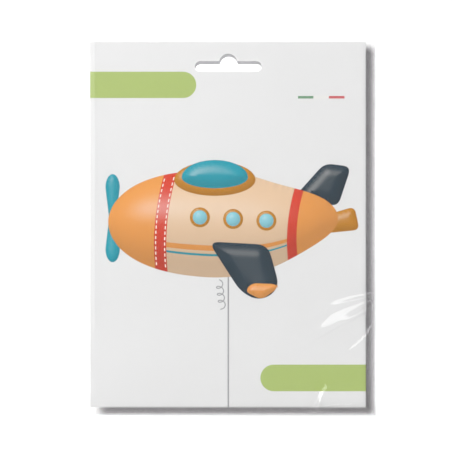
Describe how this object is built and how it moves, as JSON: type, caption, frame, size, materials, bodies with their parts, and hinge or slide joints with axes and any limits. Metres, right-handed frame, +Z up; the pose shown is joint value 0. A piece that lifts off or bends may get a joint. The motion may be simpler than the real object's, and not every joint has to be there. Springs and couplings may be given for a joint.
{
  "type": "foil balloon retail pack",
  "caption": "Clear film hang pack with a slotted insert card and a folded airplane foil balloon behind it.",
  "frame": {"origin": "top of the hang slot's peak, where a display peg bears, half-way through the insert card", "axes": "the card's front faces -Y, +X is to the right of someone facing the card, +Z is up"},
  "size_m": [0.173, 0.0076, 0.2272],
  "materials": {
    "card_board": "white coated insert board, satin",
    "clear_film": "clear oriented polypropylene film, high gloss",
    "film_seal": "heat-welded film edge, slightly frosted",
    "cream_foil": "metallised nylon foil printed cream",
    "orange_foil": "metallised nylon foil printed orange",
    "teal_foil": "metallised nylon foil printed teal",
    "navy_foil": "metallised nylon foil printed navy",
    "gold_foil": "metallised nylon foil printed gold",
    "silver_foil": "unprinted metallised nylon foil"
  },
  "bodies": {
    "root": {"insert_card": "card_board", "bag_front_film": "clear_film", "bag_back_film": "clear_film", "bag_left_fold": "clear_film", "bag_top_seal": "film_seal", "bag_right_seal": "film_seal", "bag_bottom_seal": "film_seal", "balloon_body_folds": "cream_foil", "balloon_nose_flap": "orange_foil", "balloon_tail_flap": "orange_foil", "balloon_canopy_flap": "teal_foil", "balloon_propeller": "teal_foil", "balloon_propeller_hub": "navy_foil", "balloon_upper_fin": "navy_foil", "balloon_lower_fin": "navy_foil", "balloon_tail_fin": "gold_foil", "balloon_filling_neck": "silver_foil"}
  },
  "joints": []
}
